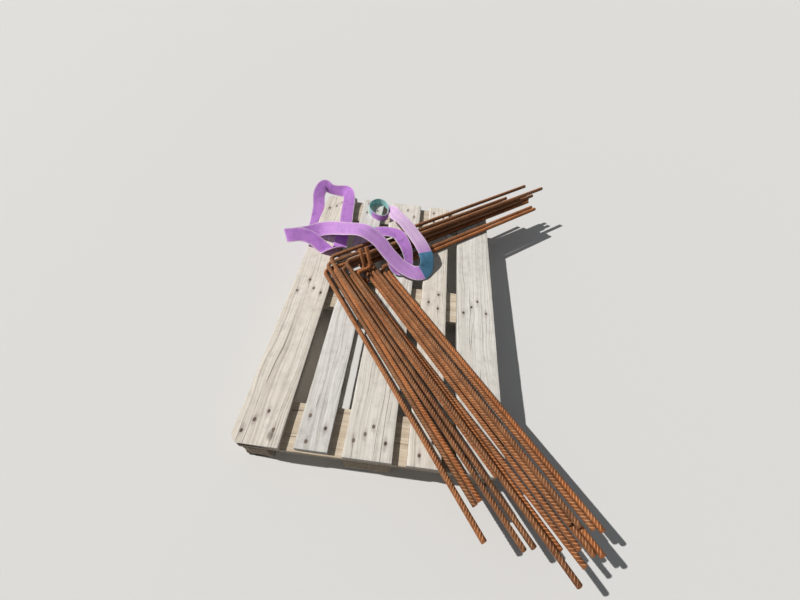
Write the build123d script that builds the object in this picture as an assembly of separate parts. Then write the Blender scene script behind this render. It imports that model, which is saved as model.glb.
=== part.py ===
"""Bundle of bent reinforcing bars on a flat wooden pallet, with a lifting sling thrown over the bends.

Millimetres, Z up. The origin is the middle of the pallet's underside. X runs across the pallet (800)
and Y along it (1200). The long legs of the bars point to +X and -Y, the short legs to +X and +Y.
"""
from build123d import *
import os
from math import cos, radians, sin

os.makedirs("parts", exist_ok=True)

# Pallet
PALLET_WIDTH = 800.0
PALLET_LENGTH = 1200.0
BOARD_THICKNESS = 22.0
BLOCK_HEIGHT = 78.0
WIDE_BOARD = 145.0
NARROW_BOARD = 100.0
SETBACK = 6.0
CORNER_CLIP = 20.0

# Bars
BAR_DIAMETER = 16.0
BEND_RADIUS = 24.0
HOOK_BEND_RADIUS = 20.0
SMALL_HOOK_RADIUS = 11.0
REST_GAP = 0.3
BUNDLE_FROM_LEFT = 115.0
BUNDLE_FROM_FAR = 503.0
LONG_HEADING = -51.0
SHORT_HEADING = 38.0

# Hooked bars
HOOK_BASE = 70.0
HOOK_RISE = 88.0
HOOK_LEAN = 62.0
SMALL_HOOK_BACK = 0.5
SMALL_HOOK_END = 24.2

# Sling
SLING_WIDTH = 60.0
SLING_THICKNESS = 4.0
EYE_WIDTH = 34.0
EYE_ON_EDGE = EYE_WIDTH / 2 + REST_GAP

# Each L bar, in mm: across, inward, long leg, its drift, short leg, its drift.
# Across and inward place the corner from the outermost one. The drift is how far the tip of a leg
# lies to the left of the leg's heading, seen from the corner.
DECK_BARS = [
    (-18, 10, 1034, -42, 1015, 30),
    (129, 25, 1162, 7, 1000, 0),
    (146, 42, 1173, 12, 985, 0),
    (163, 59, 1170, 13, 950, 0),
    (191, 107, 1073, 12, 905, 5),
    (208, 131, 1065, 12, 892, 9),
]
SECOND_COURSE_BARS = [
    (2, -5, 977, -29, 1007, 0),
    (145, 28, 1106, 5, 975, 0),
    (162, 45, 1107, 6, 990, 0),
]
THIRD_COURSE_BARS = [
    (13, 44, 927, -22, 1035, 0),
    (35, 62, 1061, 7, 1010, 0),
]
TOP_COURSE_BARS = [
    (17, 1, 1113, 1, 1109, 6),
    (60, 52, 1180, 16, 1135, 0),
]
# Each hooked bar: across, inward, long leg, its drift
LOW_HOOKED_BAR = (57, 93, 859, 13)
HIGH_HOOKED_BAR = (76, 110, 1053, 20)
SMALL_HOOKED_BAR = (86, 123, 1094, 33)

DECK_TOP = 2 * BOARD_THICKNESS + BLOCK_HEIGHT + BOARD_THICKNESS
FIRST_COURSE = DECK_TOP + REST_GAP + BAR_DIAMETER / 2
COURSE = BAR_DIAMETER + REST_GAP
TOP_COURSE_LIFT = 3.5
OUTER_X = BUNDLE_FROM_LEFT - PALLET_WIDTH / 2
OUTER_Y = PALLET_LENGTH / 2 - BUNDLE_FROM_FAR
OUTER_CORNER = Vector(OUTER_X, OUTER_Y, DECK_TOP)


def heading(angle):
    return Vector(cos(radians(angle)), sin(radians(angle)), 0)


def corner_at(across, inward):
    """Place of a bar's corner in plan, counted from the outermost corner of the bundle."""
    offset = heading(LONG_HEADING + 90) * across + heading(LONG_HEADING) * inward
    return Vector(OUTER_X, OUTER_Y, 0) + offset


def course_height(course):
    """Height of the bars' centre lines at the corner, counted in courses above the first."""
    return FIRST_COURSE + course * COURSE + (TOP_COURSE_LIFT if course == 3 else 0)


def leg_tip(corner, angle, length, drift, rest_height=None):
    """End of a straight leg. With rest_height it slopes to that height at the deck's near edge."""
    tip = corner + heading(angle) * length + heading(angle + 90) * drift
    if rest_height is not None:
        share = (tip.Y - corner.Y) / (-PALLET_LENGTH / 2 - corner.Y)
        tip += Vector(0, 0, (rest_height - corner.Z) * share)
    return tip


def round_bar(points, radii):
    path = FilletPolyline(*points, radius=radii)
    start = path.location_at(0, frame_method=FrameMethod.CORRECTED)
    return sweep(start * Circle(BAR_DIAMETER / 2), path=path)


def l_bar(across, inward, long_leg, long_drift, short_leg, short_drift, course, rest_height=None):
    """A bar bent once to an L, with its short leg level at the height of its course."""
    corner = corner_at(across, inward) + Vector(0, 0, course_height(course))
    long_tip = leg_tip(corner, LONG_HEADING, long_leg, long_drift, rest_height)
    short_tip = leg_tip(corner, SHORT_HEADING, short_leg, short_drift)
    return round_bar([long_tip, corner, short_tip], BEND_RADIUS)


def hooked_bar(across, inward, long_leg, long_drift, course):
    """A bar bent twice: a long leg, a short base and an end that stands up and leans back."""
    corner = corner_at(across, inward) + Vector(0, 0, course_height(course))
    long_tip = leg_tip(corner, LONG_HEADING, long_leg, long_drift, FIRST_COURSE)
    base_end = corner + heading(SHORT_HEADING) * HOOK_BASE
    lean_back = heading(LONG_HEADING + 180) * HOOK_RISE * cos(radians(HOOK_LEAN))
    top = base_end + lean_back + Vector(0, 0, HOOK_RISE * sin(radians(HOOK_LEAN)))
    return round_bar([long_tip, corner, base_end, top], [BEND_RADIUS, HOOK_BEND_RADIUS])


def small_hooked_bar(across, inward, long_leg, long_drift):
    """A bar on the deck whose end is turned right round in a small hook."""
    corner = corner_at(across, inward) + Vector(0, 0, FIRST_COURSE)
    long_tip = leg_tip(corner, LONG_HEADING, long_leg, long_drift)
    far_corner = corner + heading(SHORT_HEADING) * (2 * SMALL_HOOK_RADIUS + SMALL_HOOK_BACK)
    end = far_corner + heading(LONG_HEADING) * SMALL_HOOK_END
    return round_bar([long_tip, corner, far_corner, end], SMALL_HOOK_RADIUS)


def triangle(first, second, third):
    return Face(Wire.make_polygon([first, second, third], close=True))


def strap(stations):
    """Flat webbing through its stations, as one closed skin of flat triangles."""
    centres = [OUTER_CORNER + Vector(x, y, z) for x, y, z, *_ in stations]
    rings = []
    for i, (_, _, _, turn, tilt, *own_width) in enumerate(stations):
        width = own_width[0] if own_width else SLING_WIDTH
        along = (centres[min(i + 1, len(centres) - 1)] - centres[max(i - 1, 0)]).normalized()
        across = heading(turn) * cos(radians(tilt)) + Vector(0, 0, sin(radians(tilt)))
        normal = along.cross(across).normalized()
        side = normal.cross(along) * (width / 2)
        lift = normal * (SLING_THICKNESS / 2)
        corners = [-side - lift, side - lift, side + lift, lift - side]
        rings.append([centres[i] + corner for corner in corners])
    start, end = rings[0], rings[-1]
    faces = [triangle(start[0], start[2], start[1]), triangle(start[0], start[3], start[2])]
    faces += [triangle(end[0], end[1], end[2]), triangle(end[0], end[2], end[3])]
    for near, far in zip(rings, rings[1:]):
        for i in range(4):
            faces.append(triangle(near[i - 1], near[i], far[i]))
            faces.append(triangle(near[i - 1], far[i], far[i - 1]))
    return Solid(Shell(faces))


def export(name, shape):
    export_step(shape, f"parts/{name}.step")


# The sling's stations, in mm from the bundle's outermost corner at the deck: x, y, height, the heading
# and tilt of the webbing's width, in degrees, and the width itself where the webbing is folded narrower.
# The front runs from the near eye over the short legs, turns, and comes back over the hooks to a fold
# past the deck's left edge. The back runs along the deck, hangs over its side and comes up again.
SLING_FRONT = [
    (222, 392, 40, 34, 40, 44),
    (244, 340, 53, 34, 15),
    (287, 274, 73, 34, 0),
    (332, 207, 74, 34, 0),
    (372, 147, 69, 36, 0),
    (398, 103, 55, 36, -5),
    (407, 73, 39, 28, -14),
    (405, 51, 24, 0, -26),
    (391, 29, 22, -45, -34),
    (367, 21, 22, -90, -26),
    (337, 25, 26, -118, -12),
    (300, 37, 38, -130, -4),
    (247, 66, 68, -126, -8),
    (195, 101, 104, -121, -15),
    (130, 123, 126, -122, -20),
    (47, 148, 100, -118, -28),
    (-20, 175, 71, -104, -38),
    (-77, 190, 42, -95, -52),
    (-127, 180, 24, -86, -52),
    (-180, 165, 18, -80, -48),
    (-207, 151, 20, -66, -43),
    (-214, 142, 27, -60, -40),
    (-207, 134, 35, -62, -40),
    (-185, 135, 40, -75, -38),
    (-145, 145, 40, -80, -35),
    (-100, 143, 28, -100, -20),
    (-67, 128, 14, -118, -5),
    (-33, 111, 4, -126, 0),
]
SLING_BACK = [
    (23, 135, 10, -8, 0),
    (17, 203, 6, -4, 0),
    (12, 305, 3, -12, 0),
    (0, 403, 3, -10, 0),
    (-7, 473, 5, -6, 4),
    (-17, 514, 16, 12, 22),
    (-36, 532, 10, 42, 48),
    (-68, 543, 6, 82, 62),
    (-112, 553, 4, 105, 60),
    (-150, 556, 8, 135, 45),
    (-172, 520, -10, 160, 25),
    (-163, 458, -44, 176, 5),
    (-162, 403, -70, 180, 0),
    (-161, 353, -86, 180, 0),
    (-161, 315, -92, 180, 0),
    (-161, 278, -82, 190, 0),
    (-155, 249, -52, 215, 0),
    (-139, 229, -14, 250, 0),
    (-113, 221, 7, 268, 0),
    (-65, 225, 5, 272, 0),
    (-5, 234, 12, 278, 0),
    (52, 220, 36, 262, 0),
    (94, 205, 60, 256, 0),
]
EYE_NEAR = [
    (202, 392, EYE_ON_EDGE, 0, 90, EYE_WIDTH),
    (196, 432, EYE_ON_EDGE, 0, 90, EYE_WIDTH),
    (178, 460, EYE_ON_EDGE, 0, 90, EYE_WIDTH),
    (150, 474, EYE_ON_EDGE, 0, 90, EYE_WIDTH),
    (122, 462, EYE_ON_EDGE, 0, 90, EYE_WIDTH),
    (107, 432, EYE_ON_EDGE, 0, 90, EYE_WIDTH),
    (110, 400, EYE_ON_EDGE, 0, 90, EYE_WIDTH),
    (128, 372, EYE_ON_EDGE, 0, 90, EYE_WIDTH),
    (156, 352, EYE_ON_EDGE, 0, 90, EYE_WIDTH),
    (182, 348, EYE_ON_EDGE, 0, 90, EYE_WIDTH),
    (198, 362, EYE_ON_EDGE, 0, 90, EYE_WIDTH),
    (202, 384, EYE_ON_EDGE, 0, 90, EYE_WIDTH),
]
EYE_FAR = [
    (112, 198, 72, 75, 0),
    (165, 178, 78, 86, 0),
    (220, 189, 78, 88, 0),
    (268, 184, 74, 60, 0),
    (293, 152, 72, 34, 0, 56),
    (314, 116, 62, 25, 0, 48),
    (327, 86, 40, 12, 0, 38),
    (331, 58, 18, -12, 0, EYE_WIDTH),
    (314, 32, 10, -52, 0, EYE_WIDTH),
    (288, 24, 12, -97, 0, EYE_WIDTH),
    (268, 38, 27, -141, 0, EYE_WIDTH),
    (252, 68, 50, -149, 0, EYE_WIDTH),
    (226, 107, 71, -143, 0, 38),
    (190, 150, 71, -139, 0, 44),
    (163, 180, 66, -138, 0, 48),
]


def rows():
    end = (PALLET_LENGTH - WIDE_BOARD) / 2
    return [("near", -end), ("middle", 0.0), ("far", end)]


def columns():
    side = (PALLET_WIDTH - NARROW_BOARD) / 2
    return [("left", -side, NARROW_BOARD), ("middle", 0.0, WIDE_BOARD), ("right", side, NARROW_BOARD)]


def clip_corners(piece):
    """Saws off what stands outside the pallet's clipped corners."""
    outline = Rectangle(PALLET_WIDTH, PALLET_LENGTH)
    outline = chamfer(outline.vertices(), CORNER_CLIP)
    return piece & extrude(outline, amount=DECK_TOP)


def deck_boards():
    """Five boards spread evenly over the width. One was nailed on a little short of the near edge."""
    widths = [WIDE_BOARD, NARROW_BOARD, WIDE_BOARD, NARROW_BOARD, WIDE_BOARD]
    names = ["left", "left_inner", "middle", "right_inner", "right"]
    spacing = (PALLET_WIDTH - sum(widths)) / (len(widths) - 1)
    left = -PALLET_WIDTH / 2
    for name, width in zip(names, widths):
        setback = SETBACK if name == "left_inner" else 0
        board = Box(width, PALLET_LENGTH - setback, BOARD_THICKNESS)
        board = Pos(left + width / 2, setback / 2, DECK_TOP - BOARD_THICKNESS / 2) * board
        export(f"deck_board_{name}", clip_corners(board))
        left += width + spacing


def cross_boards():
    z = DECK_TOP - 1.5 * BOARD_THICKNESS
    for name, y in rows():
        board = Pos(0, y, z) * Box(PALLET_WIDTH, WIDE_BOARD, BOARD_THICKNESS)
        export(f"cross_board_{name}", clip_corners(board))


def blocks():
    z = BOARD_THICKNESS + BLOCK_HEIGHT / 2
    for row, y in rows():
        for column, x, width in columns():
            block = Pos(x, y, z) * Box(width, WIDE_BOARD, BLOCK_HEIGHT)
            export(f"block_{row}_{column}", clip_corners(block))


def bottom_boards():
    for column, x, width in columns():
        board = Pos(x, 0, BOARD_THICKNESS / 2) * Box(width, PALLET_LENGTH, BOARD_THICKNESS)
        export(f"bottom_board_{column}", clip_corners(board))


for number, bar in enumerate(DECK_BARS, 1):
    export(f"bar_deck_{number}", l_bar(*bar, course=0))
for number, bar in enumerate(SECOND_COURSE_BARS, 1):
    slopes_to_deck = number == 1
    rest_height = FIRST_COURSE if slopes_to_deck else None
    export(f"bar_second_{number}", l_bar(*bar, course=1, rest_height=rest_height))
for number, bar in enumerate(THIRD_COURSE_BARS, 1):
    export(f"bar_third_{number}", l_bar(*bar, course=2, rest_height=FIRST_COURSE))
for number, bar in enumerate(TOP_COURSE_BARS, 1):
    lies_on_another = number == len(TOP_COURSE_BARS)
    rest_height = FIRST_COURSE + (COURSE if lies_on_another else 0)
    export(f"bar_top_{number}", l_bar(*bar, course=3, rest_height=rest_height))
export("bar_hooked_low", hooked_bar(*LOW_HOOKED_BAR, course=1))
export("bar_hooked_high", hooked_bar(*HIGH_HOOKED_BAR, course=2))
export("bar_small_hook", small_hooked_bar(*SMALL_HOOKED_BAR))
export("sling_front", strap(SLING_FRONT))
export("sling_back", strap(SLING_BACK))
export("sling_eye_near", strap(EYE_NEAR))
export("sling_eye_far", strap(EYE_FAR))
deck_boards()
cross_boards()
blocks()
bottom_boards()
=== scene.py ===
"""Looks of the bundle of bent reinforcing bars on its pallet, with the sling thrown over it.

The frame's objects and this script share metres, Z up, with the origin under the middle of the
pallet. Bars and sling are laid out in millimetres from the bundle's outermost corner, as their
solids are.
"""
import random
from math import cos, pi, radians, sin, tan

import bpy
import numpy as np
from mathutils import Euler, Matrix, Vector, noise


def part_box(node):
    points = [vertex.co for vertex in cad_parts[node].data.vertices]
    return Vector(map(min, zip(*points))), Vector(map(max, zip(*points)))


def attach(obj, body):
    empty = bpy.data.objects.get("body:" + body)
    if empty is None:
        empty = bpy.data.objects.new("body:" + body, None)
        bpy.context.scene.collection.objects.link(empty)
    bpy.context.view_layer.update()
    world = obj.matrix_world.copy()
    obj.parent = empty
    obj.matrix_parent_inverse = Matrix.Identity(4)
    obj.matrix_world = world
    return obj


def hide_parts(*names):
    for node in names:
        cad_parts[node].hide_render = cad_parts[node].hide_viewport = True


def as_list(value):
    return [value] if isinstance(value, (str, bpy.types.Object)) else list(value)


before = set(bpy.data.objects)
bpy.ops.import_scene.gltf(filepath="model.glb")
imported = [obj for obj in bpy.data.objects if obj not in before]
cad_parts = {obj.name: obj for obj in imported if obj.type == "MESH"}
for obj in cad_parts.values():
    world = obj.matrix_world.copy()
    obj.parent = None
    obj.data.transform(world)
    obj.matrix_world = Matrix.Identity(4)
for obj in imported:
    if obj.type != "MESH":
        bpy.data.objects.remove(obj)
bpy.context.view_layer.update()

MM = 0.001

# Camera of the photograph: millimetres and degrees
CAMERA_PLACE = (51.0, -802.0, 1159.0)
CAMERA_DOWN = 52.2
CAMERA_LEFT = 1.45
CAMERA_ROLL = 6.13
CAMERA_LENS = 14.73
CAMERA_CLIP = 10.0
SENSOR = 36.0

# Bars
BAR_DIAMETER = 16.0
CORE_RADIUS = 7.6
RIB_HEIGHT = 1.25
RIB_PITCH = 9.6
RIB_BASE = 3.4
RIB_CREST = 1.5
RIB_SPAN = 70.0
RIB_LEAN = 36.0
RIDGE_HEIGHT = 0.9
BAR_SEED = 16
BEND_RADIUS = 24.0
HOOK_BEND_RADIUS = 20.0
SMALL_HOOK_RADIUS = 11.0
REST_GAP = 0.3
LONG_HEADING = -51.0
SHORT_HEADING = 38.0
HOOK_BASE = 70.0
HOOK_RISE = 88.0
HOOK_LEAN = 62.0
SMALL_HOOK_BACK = 0.5
SMALL_HOOK_END = 24.2
BUNDLE_FROM_LEFT = 115.0
BUNDLE_FROM_FAR = 503.0

# Each L bar, in mm: across, inward, long leg, its drift, short leg, its drift.
# Each hooked bar: across, inward, long leg, its drift.
DECK_BARS = [
    (-18, 10, 1034, -42, 1015, 30),
    (129, 25, 1162, 7, 1000, 0),
    (146, 42, 1173, 12, 985, 0),
    (163, 59, 1170, 13, 950, 0),
    (191, 107, 1073, 12, 905, 5),
    (208, 131, 1065, 12, 892, 9),
]
SECOND_COURSE_BARS = [
    (2, -5, 977, -29, 1007, 0),
    (145, 28, 1106, 5, 975, 0),
    (162, 45, 1107, 6, 990, 0),
]
THIRD_COURSE_BARS = [
    (13, 44, 927, -22, 1035, 0),
    (35, 62, 1061, 7, 1010, 0),
]
TOP_COURSE_BARS = [
    (17, 1, 1113, 1, 1109, 6),
    (60, 52, 1180, 16, 1135, 0),
]
LOW_HOOKED_BAR = (57, 93, 859, 13)
HIGH_HOOKED_BAR = (76, 110, 1053, 20)
SMALL_HOOKED_BAR = (86, 123, 1094, 33)

deck_low, deck_high = (np.array(corner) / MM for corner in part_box("deck_board_left"))
DECK_TOP = deck_high[2]
LEFT_EDGE, NEAR_EDGE, FAR_EDGE = deck_low[0], deck_low[1], deck_high[1]
OUTER_CORNER = np.array([LEFT_EDGE + BUNDLE_FROM_LEFT, FAR_EDGE - BUNDLE_FROM_FAR, DECK_TOP])
FIRST_COURSE = DECK_TOP + REST_GAP + BAR_DIAMETER / 2
COURSE = BAR_DIAMETER + REST_GAP
TOP_COURSE = 3
TOP_COURSE_LIFT = 3.5


def make_camera():
    data = bpy.data.cameras.new("camera")
    data.sensor_width = SENSOR
    data.lens = CAMERA_LENS
    data.clip_start = CAMERA_CLIP * MM
    camera = bpy.data.objects.new("camera", data)
    bpy.context.scene.collection.objects.link(camera)
    turn = Euler((radians(90 - CAMERA_DOWN), 0, radians(CAMERA_LEFT))).to_matrix()
    turn = turn @ Matrix.Rotation(radians(CAMERA_ROLL), 3, "Z")
    camera.matrix_world = Matrix.Translation(Vector(CAMERA_PLACE) * MM) @ turn.to_4x4()
    bpy.context.scene.camera = camera


def heading(angle):
    return np.array([cos(radians(angle)), sin(radians(angle)), 0.0])


def unit(v):
    return v / np.linalg.norm(v)


def make_object(name, points, faces, material):
    """New smooth mesh object from points in mm, riding on the one body."""
    mesh = bpy.data.meshes.new(name)
    mesh.from_pydata((np.asarray(points) * MM).tolist(), [], faces)
    mesh.validate()
    mesh.shade_smooth()
    obj = bpy.data.objects.new(name, mesh)
    bpy.context.scene.collection.objects.link(obj)
    mesh.materials.append(material)
    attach(obj, "root")
    return obj


def set_attribute(obj, name, kind, values):
    layer = obj.data.attributes.new(name, kind, "POINT")
    field = "vector" if kind == "FLOAT_VECTOR" else "value"
    layer.data.foreach_set(field, np.asarray(values, dtype=np.float32).ravel())


def tube_faces(rings, count, start=0):
    """Quads between rings of count points, which lie one ring after another from start on."""
    faces = []
    for ring in range(rings - 1):
        for k in range(count):
            a, b = start + ring * count + k, start + ring * count + (k + 1) % count
            faces.append((a, b, b + count, a + count))
    return faces


# Materials

class Nodes:
    """Short way to lay out a material's nodes."""

    def __init__(self, name):
        self.material = bpy.data.materials.new(name)
        self.material.use_nodes = True
        self.tree = self.material.node_tree
        self.shader = self.tree.nodes["Principled BSDF"]

    def feed(self, socket, value):
        """Links the socket to another node's output, or sets it to a number or a colour."""
        if isinstance(value, bpy.types.NodeSocket):
            self.tree.links.new(value, socket)
        else:
            socket.default_value = (*value, 1) if isinstance(value, tuple) else value

    def add(self, kind, **sockets):
        node = self.tree.nodes.new(kind)
        for name, value in sockets.items():
            self.feed(node.inputs[name], value)
        return node

    def attribute(self, name):
        node = self.tree.nodes.new("ShaderNodeAttribute")
        node.attribute_name = name
        return node

    def position(self):
        return self.tree.nodes.new("ShaderNodeTexCoord").outputs["Object"]

    def scaled(self, vector, factors):
        node = self.tree.nodes.new("ShaderNodeMapping")
        self.tree.links.new(vector, node.inputs["Vector"])
        node.inputs["Scale"].default_value = factors
        return node.outputs[0]

    def noise(self, vector, scale, detail=4.0, roughness=0.6):
        node = self.add("ShaderNodeTexNoise", Vector=vector, Scale=scale, Detail=detail,
                        Roughness=roughness)
        return node.outputs["Fac"]

    def ramp(self, value, stops):
        node = self.tree.nodes.new("ShaderNodeValToRGB")
        self.tree.links.new(value, node.inputs["Fac"])
        elements = node.color_ramp.elements
        while len(elements) < len(stops):
            elements.new(0.5)
        for element, (place, color) in zip(elements, stops):
            element.position = place
            element.color = (*color, 1) if isinstance(color, tuple) else (color, color, color, 1)
        return node.outputs["Color"]

    def math(self, operation, first, second=0.0):
        node = self.tree.nodes.new("ShaderNodeMath")
        node.operation = operation
        for socket, value in zip(node.inputs, (first, second)):
            self.feed(socket, value)
        return node.outputs[0]

    def length(self, vector):
        node = self.add("ShaderNodeVectorMath", Vector=vector)
        node.operation = "LENGTH"
        return node.outputs["Value"]

    def mix(self, share, first, second, blend="MIX"):
        node = self.tree.nodes.new("ShaderNodeMix")
        node.data_type = "RGBA"
        node.blend_type = blend
        for number, value in ((0, share), (6, first), (7, second)):
            self.feed(node.inputs[number], value)
        return node.outputs[2]

    def split(self, vector):
        node = self.tree.nodes.new("ShaderNodeSeparateXYZ")
        self.tree.links.new(vector, node.inputs[0])
        return node.outputs

    def bump(self, height, distance, strength=1.0, under=None):
        node = self.add("ShaderNodeBump", Height=height, Distance=distance, Strength=strength)
        if under is not None:
            self.tree.links.new(under, node.inputs["Normal"])
        return node.outputs[0]

    def finish(self, color, roughness, normal):
        for socket, value in (("Base Color", color), ("Roughness", roughness), ("Normal", normal)):
            self.feed(self.shader.inputs[socket], value)
        return self.material


def rust_material():
    n = Nodes("rust")
    place = n.position()
    broad = n.noise(place, 7.0, 3.0)
    middle = n.noise(place, 95.0, 5.0, 0.7)
    fine = n.noise(place, 600.0, 4.0, 0.7)
    blend = n.math("ADD", n.math("MULTIPLY", broad, 0.5), n.math("MULTIPLY", middle, 0.5))
    color = n.ramp(blend, [
        (0.36, (0.280, 0.104, 0.045)),
        (0.45, (0.470, 0.180, 0.072)),
        (0.53, (0.640, 0.255, 0.102)),
        (0.63, (0.730, 0.370, 0.180)),
    ])
    dull = n.ramp(n.noise(place, 16.0, 4.0), [(0.48, 0.0), (0.64, 0.55)])
    color = n.mix(dull, color, (0.300, 0.150, 0.078))
    speckle = n.ramp(fine, [(0.35, 0.35), (0.55, 1.0), (0.72, 1.5)])
    color = n.mix(0.65, color, speckle, "MULTIPLY")
    crest = n.attribute("crest").outputs["Fac"]
    # Crests are painted paler: partly rubbed steel, partly a painted highlight on the ribs.
    rubbed_and_painted_highlight = n.math("MULTIPLY", crest, n.ramp(middle, [(0.35, 0.2), (0.62, 0.75)]))
    color = n.mix(rubbed_and_painted_highlight, color, (0.830, 0.410, 0.205))
    # Painted shade: low crest values, at the feet of the ribs and on the core between them, are
    # darkened as shade in the hollows.
    hollow = n.ramp(crest, [(0.0, 0.27), (0.45, 1.0)])
    color = n.mix(1.0, color, hollow, "MULTIPLY")
    tone = n.ramp(n.attribute("tone").outputs["Fac"], [
        (0.0, (0.74, 0.80, 0.88)),
        (0.6, (1.0, 1.0, 1.0)),
        (1.0, (1.10, 0.98, 0.86)),
    ])
    color = n.mix(1.0, color, tone, "MULTIPLY")
    # Painted shade: the rust is darker where its surface faces sideways or down.
    _, _, upward = n.split(n.tree.nodes.new("ShaderNodeNewGeometry").outputs["Normal"])
    color = n.mix(1.0, color, n.ramp(upward, [(0.0, 0.28), (0.5, 1.0)]), "MULTIPLY")
    normal = n.bump(fine, 0.0006, 0.9)
    normal = n.bump(middle, 0.0012, 0.6, normal)
    n.shader.inputs["Specular IOR Level"].default_value = 0.15
    return n.finish(color, n.ramp(middle, [(0.3, 0.62), (0.7, 0.9)]), normal)


def cut_end_material():
    n = Nodes("cut_end")
    place = n.position()
    grain = n.noise(place, 300.0, 4.0)
    color = n.ramp(grain, [(0.35, (0.10, 0.035, 0.018)), (0.6, (0.30, 0.11, 0.045))])
    return n.finish(color, 0.9, n.bump(grain, 0.0004))


def nail_material():
    n = Nodes("nail")
    grain = n.noise(n.position(), 700.0, 4.0)
    tone = n.attribute("tone").outputs["Fac"]
    color = n.ramp(tone, [
        (0.0, (0.045, 0.020, 0.016)),
        (0.6, (0.150, 0.070, 0.045)),
        (1.0, (0.330, 0.250, 0.190)),
    ])
    color = n.mix(0.8, color, n.ramp(grain, [(0.35, 0.45), (0.6, 1.2)]), "MULTIPLY")
    return n.finish(color, 0.75, n.bump(grain, 0.0004))


# Brings distances from a nail, in metres, into the range of a colour ramp
NAIL_SCALE = 50.0


def wood_material(name, light, dark, tint):
    """Weathered wood. The grain attribute runs along the board in x, across in y, through in z."""
    n = Nodes(name)
    grain = n.attribute("grain").outputs["Vector"]
    nail = n.attribute("nail").outputs["Vector"]
    tone = n.attribute("tone").outputs["Fac"]

    sway = n.noise(n.scaled(grain, (2.6, 8.0, 8.0)), 1.0, 2.0)
    push = n.add("ShaderNodeCombineXYZ", Y=n.math("MULTIPLY", sway, 0.05))
    warped = n.add("ShaderNodeVectorMath", Vector=grain)
    n.feed(warped.inputs[1], push.outputs[0])
    line = warped.outputs[0]

    rings = n.noise(n.scaled(line, (1.5, 190.0, 120.0)), 1.0, 5.0, 0.6)
    fibre = n.noise(n.scaled(line, (16.0, 1100.0, 800.0)), 1.0, 4.0, 0.7)
    patch = n.noise(n.scaled(grain, (4.0, 14.0, 14.0)), 1.0, 5.0, 0.65)
    soil = n.noise(grain, 34.0, 6.0, 0.7)

    color = n.ramp(rings, [(0.34, dark), (0.45, tint), (0.57, light)])
    color = n.mix(n.ramp(patch, [(0.40, 0.0), (0.66, 0.75)]), color, tint)
    thread = n.ramp(fibre, [(0.30, 0.66), (0.50, 1.0), (0.75, 1.12)])
    color = n.mix(0.5, color, thread, "MULTIPLY")
    color = n.mix(0.7, color, n.ramp(soil, [(0.30, 0.74), (0.52, 1.0)]), "MULTIPLY")
    cast = n.ramp(tone, [
        (0.0, (0.93, 0.95, 0.98)),
        (0.5, (1.0, 0.99, 0.965)),
        (1.0, (1.03, 0.985, 0.925)),
    ])
    color = n.mix(1.0, color, cast, "MULTIPLY")
    # Painted shade: the side faces and sawn ends of each piece are darkened to about half.
    side = n.ramp(n.attribute("side").outputs["Fac"], [(0.35, 1.0), (0.95, 0.50)])
    color = n.mix(1.0, color, side, "MULTIPLY")

    knot = n.add("ShaderNodeTexVoronoi", Vector=n.scaled(grain, (4.6, 8.0, 5.0)), Scale=1.0)
    knot_chosen, _, _ = n.split(knot.outputs["Color"])
    edge = n.math("MULTIPLY", n.math("SUBTRACT", rings, 0.5), 0.10)
    knot_near = n.math("ADD", knot.outputs["Distance"], edge)
    knot_share = n.math(
        "MULTIPLY",
        n.ramp(knot_near, [(0.045, 1.0), (0.095, 0.0)]),
        n.ramp(knot_chosen, [(0.62, 0.0), (0.63, 1.0)]),
    )
    color = n.mix(n.math("MULTIPLY", knot_share, 0.7), color, (0.13, 0.10, 0.080))

    split_line = n.noise(n.scaled(line, (0.8, 30.0, 3.0)), 1.0, 1.0, 0.4)
    split_near = n.math("ABSOLUTE", n.math("SUBTRACT", split_line, 0.5))
    there = n.noise(n.scaled(grain, (2.6, 20.0, 9.0)), 1.0, 2.0)
    there = n.ramp(there, [(0.55, 0.0), (0.62, 1.0)])
    crack = n.math("MULTIPLY", n.ramp(split_near, [(0.003, 1.0), (0.008, 0.0)]), there)
    color = n.mix(n.math("MULTIPLY", crack, 0.75), color, (0.09, 0.07, 0.055))

    ragged = n.math("MULTIPLY", n.math("SUBTRACT", soil, 0.5), 0.006)
    reach = n.math("ADD", n.length(n.scaled(nail, (1.0, 0.36, 1.0))), ragged)
    halo = n.ramp(n.math("MULTIPLY", reach, NAIL_SCALE), [(0.18, 1.0), (0.50, 0.0)])
    color = n.mix(n.math("MULTIPLY", halo, 0.30), color, (0.16, 0.085, 0.055))
    rim = n.length(n.scaled(nail, (1.0, 0.80, 1.0)))
    rim = n.math("ADD", rim, n.math("MULTIPLY", ragged, 0.3))
    dent = n.ramp(n.math("MULTIPLY", rim, NAIL_SCALE), [(0.21, 1.0), (0.28, 0.0)])
    color = n.mix(n.math("MULTIPLY", dent, 0.8), color, (0.050, 0.030, 0.024))

    relief = n.math("ADD", n.math("MULTIPLY", rings, 0.6), n.math("MULTIPLY", fibre, 0.4))
    normal = n.bump(relief, 0.0012, 0.8)
    normal = n.bump(n.math("SUBTRACT", 1.0, crack), 0.003, 0.9, normal)
    n.shader.inputs["Specular IOR Level"].default_value = 0.2
    return n.finish(color, n.ramp(rings, [(0.3, 0.95), (0.7, 0.8)]), normal)


# The weave: metres from rib to rib and from thread to thread, threads over the width, and the
# place of the two seams in shares of the width from the middle
WEAVE_RIB_PITCH = 0.0040
WEAVE_THREAD_PITCH = 0.0021
WEAVE_WARPS = 15
SEAM_OFF_MIDDLE = 0.22


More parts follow.
